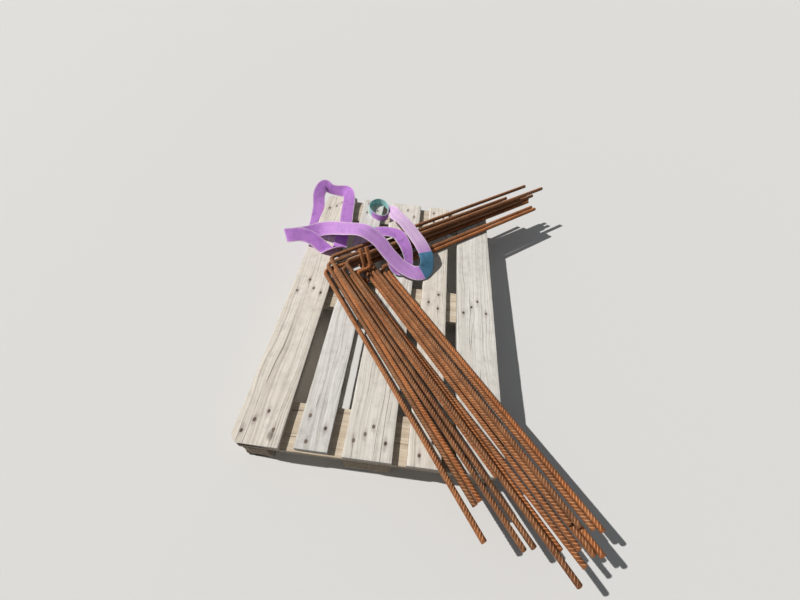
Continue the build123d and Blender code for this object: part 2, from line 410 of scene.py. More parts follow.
def webbing_material(name, body, edge, deep, length=None):
    """Woven webbing. UV map: u across, v along in metres. With a length, its start is painted
    paler, a painted highlight.
    """
    n = Nodes(name)
    uv = n.tree.nodes.new("ShaderNodeUVMap").outputs[0]
    across, along, _ = n.split(uv)
    soil = n.noise(n.position(), 30.0, 5.0, 0.62)
    fuzz = n.noise(n.position(), 900.0, 2.0)
    ribs = n.math("SINE", n.math("MULTIPLY", along, 2 * pi / WEAVE_RIB_PITCH))
    warps = n.math("SINE", n.math("MULTIPLY", across, 2 * pi * WEAVE_WARPS))
    threads = n.math("SINE", n.math("MULTIPLY", along, 2 * pi / WEAVE_THREAD_PITCH))
    weave = n.math("MULTIPLY", threads, warps)
    off_middle = n.math("ABSOLUTE", n.math("SUBTRACT", across, 0.5))
    color = n.ramp(soil, [(0.32, deep), (0.50, body)])
    color = n.mix(n.ramp(fuzz, [(0.3, 0.0), (0.8, 0.25)]), color, edge)
    # Painted highlight: the body's start, strongly up to 0.12 of its length and faintly up to 0.40,
    # is mixed toward the pale edge colour.
    if length:
        share = n.math("DIVIDE", along, length)
        painted_highlight_share = n.ramp(share, [(0.120, 0.72), (0.152, 0.18), (0.350, 0.18), (0.400, 0.0)])
        color = n.mix(painted_highlight_share, color, edge)
    color = n.mix(n.ramp(off_middle, [(0.435, 0.0), (0.460, 0.95)]), color, edge)
    seam = n.math("ABSOLUTE", n.math("SUBTRACT", off_middle, SEAM_OFF_MIDDLE))
    color = n.mix(n.ramp(seam, [(0.010, 0.4), (0.024, 0.0)]), color, deep)
    shade = n.math("ADD", n.math("MULTIPLY", ribs, 0.34), 1.0)
    shade = n.math("ADD", shade, n.math("MULTIPLY", weave, 0.08))
    shade = n.add("ShaderNodeCombineXYZ", X=shade, Y=shade, Z=shade).outputs[0]
    color = n.mix(1.0, color, shade, "MULTIPLY")
    normal = n.bump(n.math("ADD", ribs, n.math("MULTIPLY", weave, 0.5)), 0.0007, 0.9)
    n.shader.inputs["Sheen Weight"].default_value = 0.2
    n.shader.inputs["Sheen Roughness"].default_value = 0.4
    n.shader.inputs["Specular IOR Level"].default_value = 0.35
    return n.finish(color, n.ramp(soil, [(0.3, 0.8), (0.7, 0.6)]), normal)


# Bars

def corner_at(across, inward, course):
    lift = course * COURSE + (TOP_COURSE_LIFT if course == TOP_COURSE else 0)
    place = OUTER_CORNER + heading(LONG_HEADING + 90) * across + heading(LONG_HEADING) * inward
    return np.array([place[0], place[1], FIRST_COURSE + lift])


def leg_tip(corner, angle, length, drift, rest_height=None):
    """End of a straight leg. With rest_height it slopes to that height at the deck's near edge."""
    tip = corner + heading(angle) * length + heading(angle + 90) * drift
    if rest_height is not None:
        tip[2] += (rest_height - corner[2]) * (tip[1] - corner[1]) / (NEAR_EDGE - corner[1])
    return tip


def l_points(bar, course, rest_height=None):
    across, inward, long_leg, long_drift, short_leg, short_drift = bar
    corner = corner_at(across, inward, course)
    return [
        leg_tip(corner, LONG_HEADING, long_leg, long_drift, rest_height),
        corner,
        leg_tip(corner, SHORT_HEADING, short_leg, short_drift),
    ]


def hooked_points(bar, course):
    across, inward, long_leg, long_drift = bar
    corner = corner_at(across, inward, course)
    base_end = corner + heading(SHORT_HEADING) * HOOK_BASE
    lean = heading(LONG_HEADING + 180) * HOOK_RISE * cos(radians(HOOK_LEAN))
    top = base_end + lean + np.array([0, 0, HOOK_RISE * sin(radians(HOOK_LEAN))])
    long_tip = leg_tip(corner, LONG_HEADING, long_leg, long_drift, FIRST_COURSE)
    return [long_tip, corner, base_end, top]


def small_hooked_points(bar):
    across, inward, long_leg, long_drift = bar
    corner = corner_at(across, inward, 0)
    far_corner = corner + heading(SHORT_HEADING) * (2 * SMALL_HOOK_RADIUS + SMALL_HOOK_BACK)
    end = far_corner + heading(LONG_HEADING) * SMALL_HOOK_END
    return [leg_tip(corner, LONG_HEADING, long_leg, long_drift), corner, far_corner, end]


def bar_routes():
    """Name, points and bend radii of every bar."""
    for number, bar in enumerate(DECK_BARS, 1):
        yield f"bar_deck_{number}", l_points(bar, 0), [BEND_RADIUS]
    for number, bar in enumerate(SECOND_COURSE_BARS, 1):
        rest_height = FIRST_COURSE if number == 1 else None
        yield f"bar_second_{number}", l_points(bar, 1, rest_height), [BEND_RADIUS]
    for number, bar in enumerate(THIRD_COURSE_BARS, 1):
        yield f"bar_third_{number}", l_points(bar, 2, FIRST_COURSE), [BEND_RADIUS]
    for number, bar in enumerate(TOP_COURSE_BARS, 1):
        rest_height = FIRST_COURSE + (COURSE if number == len(TOP_COURSE_BARS) else 0)
        yield f"bar_top_{number}", l_points(bar, TOP_COURSE, rest_height), [BEND_RADIUS]
    hook_radii = [BEND_RADIUS, HOOK_BEND_RADIUS]
    yield "bar_hooked_low", hooked_points(LOW_HOOKED_BAR, 1), hook_radii
    yield "bar_hooked_high", hooked_points(HIGH_HOOKED_BAR, 2), hook_radii
    yield "bar_small_hook", small_hooked_points(SMALL_HOOKED_BAR), [SMALL_HOOK_RADIUS] * 2


# Degrees of a bend between two points of its line
BEND_STEP = 6.0


class Route:
    """Centre line with rounded bends, and a frame carried along it without twist."""

    def __init__(self, points, radii):
        line = [points[0]]
        for before, corner, after, radius in zip(points, points[1:], points[2:], radii):
            into, out = unit(corner - before), unit(after - corner)
            turn = np.arccos(np.clip(into @ out, -1, 1))
            centre = corner + unit(out - into) * radius / cos(turn / 2)
            spoke = unit(corner - into * radius * tan(turn / 2) - centre)
            steps = max(2, int(np.degrees(turn) / BEND_STEP))
            for angle in np.linspace(0, turn, steps + 1):
                line.append(centre + radius * (spoke * cos(angle) + into * sin(angle)))
        line.append(points[-1])
        self.points = np.array(line)
        gaps = np.linalg.norm(np.diff(self.points, axis=0), axis=1)
        self.stops = np.concatenate([[0], np.cumsum(gaps)])
        self.length = self.stops[-1]
        ways = np.gradient(self.points, self.stops, axis=0)
        ways /= np.linalg.norm(ways, axis=1)[:, None]
        side = unit(np.cross(ways[0], [0, 0, 1.0]))
        sides = []
        for way in ways:
            side = unit(side - way * (side @ way))
            sides.append(side)
        self.ways, self.sides = ways, np.array(sides)

    def frame_at(self, stops):
        """Point, side and upward direction at each distance along the line."""
        def read(rows):
            return np.stack([np.interp(stops, self.stops, rows[:, k]) for k in range(3)], axis=-1)

        way, side = read(self.ways), read(self.sides)
        side /= np.linalg.norm(side, axis=-1)[..., None]
        up = np.cross(side, way)
        return read(self.points), side, up / np.linalg.norm(up, axis=-1)[..., None]

    def place(self, stops, angles, radii):
        point, side, up = self.frame_at(stops)
        turn = np.asarray(angles)[..., None]
        return point + np.asarray(radii)[..., None] * (np.cos(turn) * side + np.sin(turn) * up)


# Half the angle of a ridge at its foot and top, the rest of half the section, and a bar's cut ends
RIDGE_FOOT = 10
RIDGE_TOP = 5
CORE_ANGLES = (30, 50, 70, 90, 110, 130, 150)
END_LENGTH = 0.6
END_SHRINK = 0.7
# Crest values on the core, on the ridges and at the tips of the ribs. High values are painted
# paler, partly as rubbed steel and partly as a painted highlight; low values get a painted shade of
# the hollows
CORE_CREST = 0.22
RIDGE_CREST = 0.75
RIB_TIP_CREST = 0.35
# The rows of ribs: their distance from the bar's ends, and how far they are clipped short of them
RIBS_BEGIN = 6.0
RIBS_END = 5.0
RIB_END_CLIP = 0.5
# The ribs: points across, how full the crescent is, width at its tips, how deep the foot is sunk,
# and the shares of its height that wear may leave
RIB_LANES = 9
RIB_FULLNESS = 0.6
RIB_TIP_WIDTH = 0.45
RIB_SUNK = 0.12
RIB_WORN = (0.7, 1.0)
# A bar lies with its ribs one way round three times in four, and turned a little to either side
ROLLS = (pi, pi, pi, 0)
ROLL_SPREAD = 0.6


def bar_core(route, roll):
    """Round core with its two lengthwise ridges: points, faces, crest values and points a ring."""
    ridge = [(-RIDGE_TOP, RIDGE_HEIGHT), (RIDGE_TOP, RIDGE_HEIGHT)]
    half = [(-RIDGE_FOOT, 0), *ridge, (RIDGE_FOOT, 0)]
    half += [(angle, 0) for angle in CORE_ANGLES]
    profile = half + [(angle + 180, lift) for angle, lift in half]
    angles = np.radians([angle for angle, _ in profile]) + roll
    lifts = np.array([lift for _, lift in profile])
    inner = route.stops[1:-1]
    last = [route.length - END_LENGTH, route.length]
    rings = np.concatenate([[0.0, END_LENGTH], inner, last])
    shrink = np.zeros(len(rings))
    shrink[[0, -1]] = END_SHRINK
    points = route.place(
        np.repeat(rings[:, None], len(profile), 1),
        np.repeat(angles[None], len(rings), 0),
        CORE_RADIUS + lifts[None] - shrink[:, None],
    ).reshape(-1, 3)
    crest = np.tile(np.where(lifts > 0, RIDGE_CREST, CORE_CREST), len(rings))
    return points, tube_faces(len(rings), len(profile)), crest, len(profile)


def bar_ribs(route, roll, random_source):
    """Crescent ribs in two rows, leaning opposite ways: points, faces and crest values."""
    across = np.linspace(-1, 1, RIB_LANES)
    lift = np.maximum(np.cos(across * pi / 2), 0) ** RIB_FULLNESS
    span = radians(RIB_SPAN)
    lean = tan(radians(RIB_LEAN))
    starts = np.arange(RIBS_BEGIN, route.length - RIBS_END, RIB_PITCH)
    widths = np.array([-RIB_BASE / 2, -RIB_CREST / 2, RIB_CREST / 2, RIB_BASE / 2])
    raised = np.array([0.0, 1.0, 1.0, 0.0])
    taper = RIB_TIP_WIDTH + (1 - RIB_TIP_WIDTH) * lift
    all_points, all_faces, all_crests = [], [], []
    base = 0
    for row, row_angle in enumerate((pi / 2, 3 * pi / 2)):
        middles = starts + row * RIB_PITCH / 2
        worn = np.array([random_source.uniform(*RIB_WORN) for _ in middles])
        shift = across * span * CORE_RADIUS * lean * (1 if row == 0 else -1)
        angle = row_angle + roll + across * span
        stops = middles[:, None, None] + shift[:, None] + widths * taper[:, None]
        stops = np.clip(stops, RIB_END_CLIP, route.length - RIB_END_CLIP)
        angles = np.broadcast_to(angle[None, :, None], stops.shape)
        height = RIB_HEIGHT * raised * (lift[:, None] * worn[:, None, None])
        radii = CORE_RADIUS - RIB_SUNK * (1 - raised) + height
        points = route.place(stops, angles, radii)
        count = stops.size
        index = base + np.arange(count).reshape(stops.shape)
        for k in range(len(widths) - 1):
            quads = np.stack([
                index[:, :-1, k], index[:, 1:, k], index[:, 1:, k + 1], index[:, :-1, k + 1],
            ], axis=-1).reshape(-1, 4)
            if row == 0:
                quads = quads[:, ::-1]
            all_faces.append(quads)
        # Rib feet get crest 0, which the rust material paints darkest as shade.
        crest = raised * (RIB_TIP_CREST + (1 - RIB_TIP_CREST) * lift[:, None])
        crest = np.broadcast_to(crest, stops.shape)
        all_points.append(points.reshape(-1, 3))
        all_crests.append(crest.ravel())
        base += count
    return np.concatenate(all_points), np.concatenate(all_faces), np.concatenate(all_crests)


def make_bar(name, points, radii, rust, cut_end, random_source):
    route = Route(points, radii)
    roll = random_source.choice(ROLLS) + random_source.uniform(-ROLL_SPREAD, ROLL_SPREAD)
    core_points, core_faces, core_crest, count = bar_core(route, roll)
    rib_points, rib_faces, rib_crest = bar_ribs(route, roll, random_source)
    total = len(core_points)
    caps = [tuple(range(count))[::-1], tuple(range(total - count, total))]
    faces = core_faces + (rib_faces + total).tolist() + caps
    all_points = np.concatenate([core_points, rib_points])
    bar = make_object(name + "_ribbed", all_points, faces, rust)
    bar.data.materials.append(cut_end)
    for polygon in bar.data.polygons[-2:]:
        polygon.material_index = 1
        polygon.use_smooth = False
    set_attribute(bar, "crest", "FLOAT", np.concatenate([core_crest, rib_crest]))
    set_attribute(bar, "tone", "FLOAT", [random_source.uniform(0, 1)] * len(all_points))
    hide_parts(name)


# Pallet

PALLET_SEED = 31
CORNER_CLIP = 20.0
# Size of a worn edge, and the shares of it that round its corner and draw in the sawn ends
EDGE_WEAR = 1.6
EDGE_ROUNDING = 0.3
END_INSET = 0.6
# Depth and fineness of the bites in the edges, the share of a bite that goes down, and the same for
# the hollows of the upper face
BITE_DEPTH = 1.5
BITE_SCALE = 0.021
BITE_DOWN = 0.4
HOLLOW_DEPTH = 0.5
HOLLOW_SCALE = 0.012
HOLLOW_SEED_STEP = 7
# How far the pattern of wear is moved on for each mm down a side, so that the faces differ
WEAR_TURN = 2.3
# Distance between points along and across the pieces
DECK_STEP = 11.0
BLOCK_STEP = 16.0
CROSS_STEP = 18.0


def clipped(point):
    """Moves a point in from the pallet's clipped corners."""
    x, y, z = point
    over = abs(x) + abs(y) - (abs(LEFT_EDGE) + FAR_EDGE - CORNER_CLIP)
    if over > 0:
        x -= np.sign(x) * over / 2
        y -= np.sign(y) * over / 2
    return [x, y, z]


def wear(place, seed, scale, amount):
    return amount * (0.5 + 0.5 * noise.noise(Vector((place[0] * scale, place[1] * scale, seed))))


def make_timber(node, material, random_source, step, nail_places=()):
    """A sawn piece over the node's own box, with worn edges and slightly hollow faces."""
    low, high = (np.array(corner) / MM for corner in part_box(node))
    size = high - low
    lengthwise = 0 if size[0] > size[1] else 1
    widthwise = 1 - lengthwise
    seed = random_source.uniform(0, 100)
    length, width, height = size[lengthwise], size[widthwise], size[2]
    worn = EDGE_WEAR
    rounding = worn * EDGE_ROUNDING
    stations = np.linspace(worn, length - worn, max(3, int(length / step)))[1:-1]
    stations = [0.0, worn, *stations, length - worn, length]
    lanes = list(np.linspace(worn, width - worn, max(3, int(width / step)) + 1))
    section = [(w, height) for w in lanes]
    section += [
        (width - rounding, height - rounding), (width, height - worn), (width, height / 2),
        (width, worn), (width - rounding, rounding),
    ]
    section += [(w, 0.0) for w in reversed(lanes)]
    section += [
        (rounding, rounding), (0.0, worn), (0.0, height / 2),
        (0.0, height - worn), (rounding, height - rounding),
    ]
    points, grain, sides = [], [], []
    for index, along in enumerate(stations):
        at_end = index in (0, len(stations) - 1)
        for w, h in section:
            inset = worn * END_INSET if at_end else 0.0
            w_in = min(max(w, inset), width - inset)
            h_in = min(max(h, inset), height - inset)
            edge = min(w, width - w) < 2 * worn and min(h, height - h) < 2 * worn
            place = (along, w + WEAR_TURN * h)
            if edge:
                bite = wear(place, seed, BITE_SCALE, BITE_DEPTH)
                w_in += bite if w < width / 2 else -bite
                h_in += BITE_DOWN * bite if h < height / 2 else -BITE_DOWN * bite
            elif h == height:
                h_in -= wear(place, seed + HOLLOW_SEED_STEP, HOLLOW_SCALE, HOLLOW_DEPTH)
            point = np.zeros(3)
            point[lengthwise] = low[lengthwise] + along
            point[widthwise] = low[widthwise] + w_in
            point[2] = low[2] + h_in
            points.append(clipped(point))
            # Side faces and sawn ends get 1, which the wood material paints darker as shade.
            sides.append(1.0 if at_end or w <= 0 or w >= width else 0.0)
            grain.append((along * MM + seed, w * MM + seed, h * MM))
    count = len(section)
    faces = tube_faces(len(stations), count)
    faces.append(tuple(range(count))[::-1])
    faces.append(tuple(range(len(points) - count, len(points))))
    if lengthwise == 1:
        faces = [face[::-1] for face in faces]
    timber = make_object(node + "_sawn", points, faces, material)
    timber.data.set_sharp_from_angle(angle=radians(40))
    set_attribute(timber, "grain", "FLOAT_VECTOR", grain)
    set_attribute(timber, "side", "FLOAT", sides)
    set_attribute(timber, "tone", "FLOAT", [random_source.uniform(0, 1)] * len(points))
    set_nail_vectors(timber, nail_places, high[2])
    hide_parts(node)


def set_nail_vectors(timber, nail_places, top):
    """Gives each corner of each face its vector from the nail that is nearest to the face."""
    mesh = timber.data
    corners = np.empty(len(mesh.loops), dtype=np.int32)
    mesh.loops.foreach_get("vertex_index", corners)
    places = np.empty(len(mesh.vertices) * 3)
    mesh.vertices.foreach_get("co", places)
    places = places.reshape(-1, 3)
    vectors = np.ones((len(corners), 3))
    if len(nail_places):
        nails = np.array([[x, y, top] for x, y in nail_places]) * MM
        for polygon in mesh.polygons:
            own = list(polygon.loop_indices)
            middle = places[corners[own]].mean(axis=0)
            nearest = nails[np.argmin(((nails - middle)[:, :2] ** 2).sum(axis=1))]
            vectors[own] = places[corners[own]] - nearest
    layer = mesh.attributes.new("nail", "FLOAT_VECTOR", "CORNER")
    layer.data.foreach_set("vector", vectors.astype(np.float32).ravel())


NAIL_HEAD = 3.4
NAIL_SIDES = 12
# The rings of a head: share of its radius, and height over the wood
NAIL_RINGS = [(1.0, -1.2), (1.0, 0.15), (0.72, 0.42), (0.3, 0.5)]
NAIL_SIZES = (0.8, 1.05)
NAIL_LEAN = 0.08
NAIL_SUNK = 0.3
# How far a nail strays across and along the board, and its places as shares of the board's width
# and of the cross board's
STRAY_ACROSS = 5
STRAY_ALONG = 8
WIDE_BOARD_NAILS = [(-0.30, -0.22), (0.06, 0.20), (-0.12, -0.02), (0.30, -0.20)]
NARROW_BOARD_NAILS = [(-0.22, 0.24), (0.24, -0.02), (-0.20, -0.26)]
WIDE_BOARD_FROM = 120


def nail_plan(node, random_source):
    """Places of the nails that hold a deck board to the three cross boards."""
    low, high = (np.array(corner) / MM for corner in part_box(node))
    middle, width = (low[0] + high[0]) / 2, high[0] - low[0]
    rows = [np.array(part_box(f"cross_board_{row}")) for row in ("near", "middle", "far")]
    pattern = WIDE_BOARD_NAILS if width > WIDE_BOARD_FROM else NARROW_BOARD_NAILS
    places = []
    for box in rows:
        centre = (box[0][1] + box[1][1]) / 2 / MM
        depth = (box[1][1] - box[0][1]) / MM
        flip = random_source.choice((-1, 1))
        for across, along in pattern:
            x = middle + flip * across * width + random_source.uniform(-STRAY_ACROSS, STRAY_ACROSS)
            y = centre + along * depth + random_source.uniform(-STRAY_ALONG, STRAY_ALONG)
            places.append((x, y))
    return places


def make_nails(places, top, material, random_source):
    """Rusty heads, each sunk a little into the wood and tilted its own way."""
    points, faces, tones = [], [], []
    for x, y in places:
        start = len(points)
        tones += [random_source.uniform(0, 1)] * (NAIL_SIDES * len(NAIL_RINGS))
        radius = NAIL_HEAD * random_source.uniform(*NAIL_SIZES)
        lean_x = random_source.uniform(-NAIL_LEAN, NAIL_LEAN)
        lean_y = random_source.uniform(-NAIL_LEAN, NAIL_LEAN)
        for share, lift in NAIL_RINGS:
            for k in range(NAIL_SIDES):
                angle = 2 * pi * k / NAIL_SIDES
                dx, dy = radius * share * cos(angle), radius * share * sin(angle)
                height = top + lift + lean_x * dx + lean_y * dy - NAIL_SUNK
                points.append((x + dx, y + dy, height))
        faces += tube_faces(len(NAIL_RINGS), NAIL_SIDES, start)
        faces.append(tuple(range(len(points) - NAIL_SIDES, len(points))))
    nails = make_object("nail_heads", points, faces, material)
    set_attribute(nails, "tone", "FLOAT", tones)


def make_pallet():
    source = random.Random(PALLET_SEED)
    boards = wood_material(
        "board_wood",
        light=(0.90, 0.88, 0.84), dark=(0.52, 0.49, 0.44), tint=(0.74, 0.71, 0.66),
    )
    cross = wood_material(
        "cross_board_wood",
        light=(0.76, 0.68, 0.57), dark=(0.42, 0.34, 0.26), tint=(0.62, 0.53, 0.42),
    )
    under = wood_material(
        "block_wood",
        light=(0.50, 0.42, 0.32), dark=(0.22, 0.165, 0.115), tint=(0.38, 0.305, 0.225),
    )
    nails = []
    for node in sorted(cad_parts):
        if node.startswith("deck_board"):
            plan = nail_plan(node, source)
            nails += plan
            make_timber(node, boards, source, DECK_STEP, plan)
        elif node.startswith(("cross_board", "bottom_board")):
            make_timber(node, cross, source, CROSS_STEP)
        elif node.startswith("block"):
            make_timber(node, under, source, BLOCK_STEP)
    make_nails(nails, DECK_TOP, nail_material(), source)


# Sling

SLING_WIDTH = 60.0
SLING_THICKNESS = 4.0
EYE_WIDTH = 34.0
EYE_ON_EDGE = EYE_WIDTH / 2 + REST_GAP
EYE_THICKNESS = 3.4
BODY_STEP = 5.0
EYE_STEP = 4.0
# Metres the body is taken to run before an eye begins, for the weave's pattern
EYE_BEGINS = 1.0
# Length of the body in metres, against which the painted highlight at its start is measured
BODY_LENGTH = 2.74
# The sleeve covers the body right of the one and nearer than the other, counted from the corner
SLEEVE_FROM_X = 388
SLEEVE_TO_Y = 112
SLEEVE_THICKNESS = 6.4
SLEEVE_WIDER = 3.0
# Shares of the eyes' run over which their upper side is lined too
NEAR_EYE_LINED = (0.28, 0.66)
FAR_EYE_LINED_TO = 0.09
# The webbing's section: points across, and where its thinner selvedge begins and how thick that is
LANES = 13
SELVEDGE_FROM = 0.49
SELVEDGE = 0.5
# Its soft waves: height in mm, and how fine they are along and across
WAVE_HEIGHT = 0.7
WAVE_ALONG = 0.022
WAVE_ACROSS = 2.2

# The sling's stations, in mm from the outer corner: x, y, height, the heading and tilt of the
# width, and the width itself where it is narrower. They follow its solids. The start at the near
# eye is added, and four stations at the far fold are tilted or lie up to 6 mm otherwise.
SLING_FRONT = [
    (199, 439, 17.5, 0, 90, EYE_WIDTH),
    (205, 414, 18.5, 8, 86, EYE_WIDTH),
    (222, 392, 40, 34, 40, 44),
    (244, 340, 53, 34, 15),
    (287, 274, 73, 34, 0),
    (332, 207, 74, 34, 0),
    (372, 147, 69, 36, 0),
    (398, 103, 55, 36, -5),
    (407, 73, 39, 28, -14),
    (405, 51, 24, 0, -26),
    (391, 29, 22, -45, -34),
    (367, 21, 22, -90, -26),
    (337, 25, 26, -118, -12),
    (300, 37, 38, -130, -4),
    (247, 66, 68, -126, -8),
    (195, 101, 104, -121, -15),
    (130, 123, 126, -122, -20),
    (47, 148, 100, -118, -28),
    (-20, 175, 71, -104, -38),
    (-77, 190, 42, -95, -52),
    (-127, 180, 24, -86, -52),
    (-180, 165, 18, -80, -48),
    (-207, 151, 20, -66, -43),
    (-214, 142, 27, -60, -40),
    (-207, 134, 35, -62, -40),
    (-185, 135, 40, -75, -38),
    (-145, 145, 40, -80, -35),
    (-100, 143, 28, -100, -20),
    (-67, 128, 14, -118, -5),
    (-33, 111, 4, -126, 0),
]
# Where the webbing stands up on its edge to turn, between the two runs
SLING_TURN = [
    (-8, 103, 17, -112, 28),
    (14, 106, 25, -68, 48),
    (25, 120, 18, -28, 26),
]
SLING_BACK = [
    (23, 135, 10, -8, 0),
    (17, 203, 6, -4, 0),
    (12, 305, 3, -12, 0),
    (0, 403, 3, -10, 0),
    (-7, 473, 5, -6, 4),
    (-17, 514, 16, 12, 22),
    (-36, 532, 12, 42, 48),
    (-68, 543, 3, 82, 68, 54),
    (-112, 553, 0, 105, 70, 52),
    (-150, 556, 14, 135, 45),
    (-172, 520, -10, 160, 25),
    (-163, 458, -44, 176, 5),
    (-162, 403, -70, 180, 0),
    (-161, 353, -86, 180, 0),
    (-161, 315, -92, 180, 0),
    (-161, 278, -82, 190, 0),
    (-155, 249, -52, 215, 0),
    (-139, 229, -14, 250, 0),
    (-113, 221, 7, 268, 0),
    (-65, 225, 5, 272, 0),
    (-5, 234, 12, 278, 0),
    (52, 220, 36, 262, 0),
    (94, 205, 60, 256, 0),
]
# The end of the webbing, sewn in between the two ends of the far eye
SLING_END = [
    (118, 196, 67.8, 256, 0),
    (150, 184, 72, 260, 0),
]
EYE_NEAR = [
    (202, 392, EYE_ON_EDGE, 0, 90, EYE_WIDTH),
    (196, 432, EYE_ON_EDGE, 0, 90, EYE_WIDTH),
    (178, 460, EYE_ON_EDGE, 0, 90, EYE_WIDTH),
    (150, 474, EYE_ON_EDGE, 0, 90, EYE_WIDTH),
    (122, 462, EYE_ON_EDGE, 0, 90, EYE_WIDTH),
    (107, 432, EYE_ON_EDGE, 0, 90, EYE_WIDTH),
    (110, 400, EYE_ON_EDGE, 0, 90, EYE_WIDTH),
    (128, 372, EYE_ON_EDGE, 0, 90, EYE_WIDTH),
    (156, 352, EYE_ON_EDGE, 0, 90, EYE_WIDTH),
    (182, 348, EYE_ON_EDGE, 0, 90, EYE_WIDTH),
    (198, 362, EYE_ON_EDGE, 0, 90, EYE_WIDTH),
    (202, 384, EYE_ON_EDGE, 0, 90, EYE_WIDTH),
]
EYE_FAR = [
    (112, 198, 72, 75, 0),
    (165, 178, 78, 86, 0),
    (220, 189, 78, 88, 0),
    (268, 184, 74, 60, 0),
    (293, 152, 72, 34, 0, 56),
    (314, 116, 62, 25, 0, 48),
    (327, 86, 40, 12, 0, 38),
    (331, 58, 18, -12, 0, EYE_WIDTH),
    (314, 32, 10, -52, 0, EYE_WIDTH),
    (288, 24, 12, -97, 0, EYE_WIDTH),
    (268, 38, 27, -141, 0, EYE_WIDTH),
    (252, 68, 50, -149, 0, EYE_WIDTH),
    (226, 107, 71, -143, 0, 38),
    (190, 150, 71, -139, 0, 44),
    (163, 180, 66, -138, 0, 48),
]


def smooth_rows(rows, closed, step):
    """Catmull-Rom curve through the rows' numbers, with points about step apart."""
    rows = np.asarray(rows, dtype=float)
    count = len(rows)
    pieces = []
    for i in range(count if closed else count - 1):
        if closed:
            a, b, c, d = (rows[(i + k) % count] for k in (-1, 0, 1, 2))
        else:
            a, b, c, d = (rows[min(max(i + k, 0), count - 1)] for k in (-1, 0, 1, 2))
        steps = max(2, int(np.linalg.norm(c[:3] - b[:3]) / step))
        t = np.linspace(0, 1, steps, endpoint=False)[:, None]
        square = (2 * a - 5 * b + 4 * c - d) * t ** 2
        cube = (3 * b - a - 3 * c + d) * t ** 3
        pieces.append(0.5 * (2 * b + (c - a) * t + square + cube))
    if not closed:
        pieces.append(rows[-1:])
    return np.concatenate(pieces)


def width_rows(stations):
    """Place, width direction and width of each station."""
    rows = []
    for x, y, z, turn, tilt, *own_width in stations:
        across = heading(turn) * cos(radians(tilt)) + np.array([0, 0, sin(radians(tilt))])
        width = own_width[0] if own_width else SLING_WIDTH
        rows.append([*(OUTER_CORNER + np.array([x, y, z])), *across, width])
    return rows


def band_frames(rows, closed):
    """Centres, directions across and up, widths, and distance run in mm, of the rows of a band."""
    centres, across, widths = rows[:, :3], rows[:, 3:6], rows[:, 6]
    if closed:
        along = np.roll(centres, -1, 0) - np.roll(centres, 1, 0)
    else:
        along = np.gradient(centres, axis=0)
    along /= np.linalg.norm(along, axis=1)[:, None]
    normal = np.cross(along, across)
    normal /= np.linalg.norm(normal, axis=1)[:, None]
    run = np.concatenate([[0], np.cumsum(np.linalg.norm(np.diff(centres, axis=0), axis=1))])
    return centres, np.cross(normal, along), normal, widths, run


def make_band(
    name, rows, materials, seed, thickness=SLING_THICKNESS, widen=0.0, closed=False, lining=None,
    begins=0.0,
):
    """Webbing along the rows: the object, its length and its mean width in metres.

    lining says, from a share of the run, whether the upper side and the underside are lined there.
    """
    centres, side, normal, widths, run = band_frames(rows, closed)
    lanes = np.linspace(-0.5, 0.5, LANES)
    half = thickness / 2
    top = [(lane, half * (1 if abs(lane) < SELVEDGE_FROM else SELVEDGE)) for lane in lanes]
    section = top + [(lane, -lift) for lane, lift in reversed(top)]
    points, uvs = [], []
    for i, centre in enumerate(centres):
        for lane, lift in section:
            swell = noise.noise(Vector((run[i] * WAVE_ALONG, lane * WAVE_ACROSS, seed)))
            wave = WAVE_HEIGHT * swell
            across = lane * (widths[i] + widen)
            points.append(centre + side[i] * across + normal[i] * (lift + wave))
            uvs.append((lane + 0.5, run[i] * MM + begins))
    count, rings = len(section), len(centres)
    faces, slots = [], []
    for ring in range(rings if closed else rings - 1):
        after = (ring + 1) % rings
        lined = lining(ring / rings) if lining else (False, False)
        for k in range(count):
            a, b = ring * count + k, ring * count + (k + 1) % count
            onward = (after - ring) * count
            faces.append((a, a + onward, b + onward, b))
            slots.append(int(lined[0] if k < len(top) - 1 else lined[1]))
    if not closed:
        faces += [tuple(range(count)), tuple(range((rings - 1) * count, rings * count))[::-1]]
        slots += [0, 0]
    band = make_object(name, points, faces, materials[0])
    for material in materials[1:]:
        band.data.materials.append(material)
    layer = band.data.uv_layers.new(name="webbing")
    for polygon, slot in zip(band.data.polygons, slots):
        polygon.material_index = slot
        for loop in polygon.loop_indices:
            layer.data[loop].uv = uvs[band.data.loops[loop].vertex_index]
    band.data.set_sharp_from_angle(angle=radians(60))
    length = run[-1] + (np.linalg.norm(centres[0] - centres[-1]) if closed else 0)
    return band, length * MM, widths.mean() * MM


def declare_band(band, length, width, rests_on, with_pieces):
    widest = max(width, EYE_WIDTH * MM)
    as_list(rests_on)
    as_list(with_pieces)


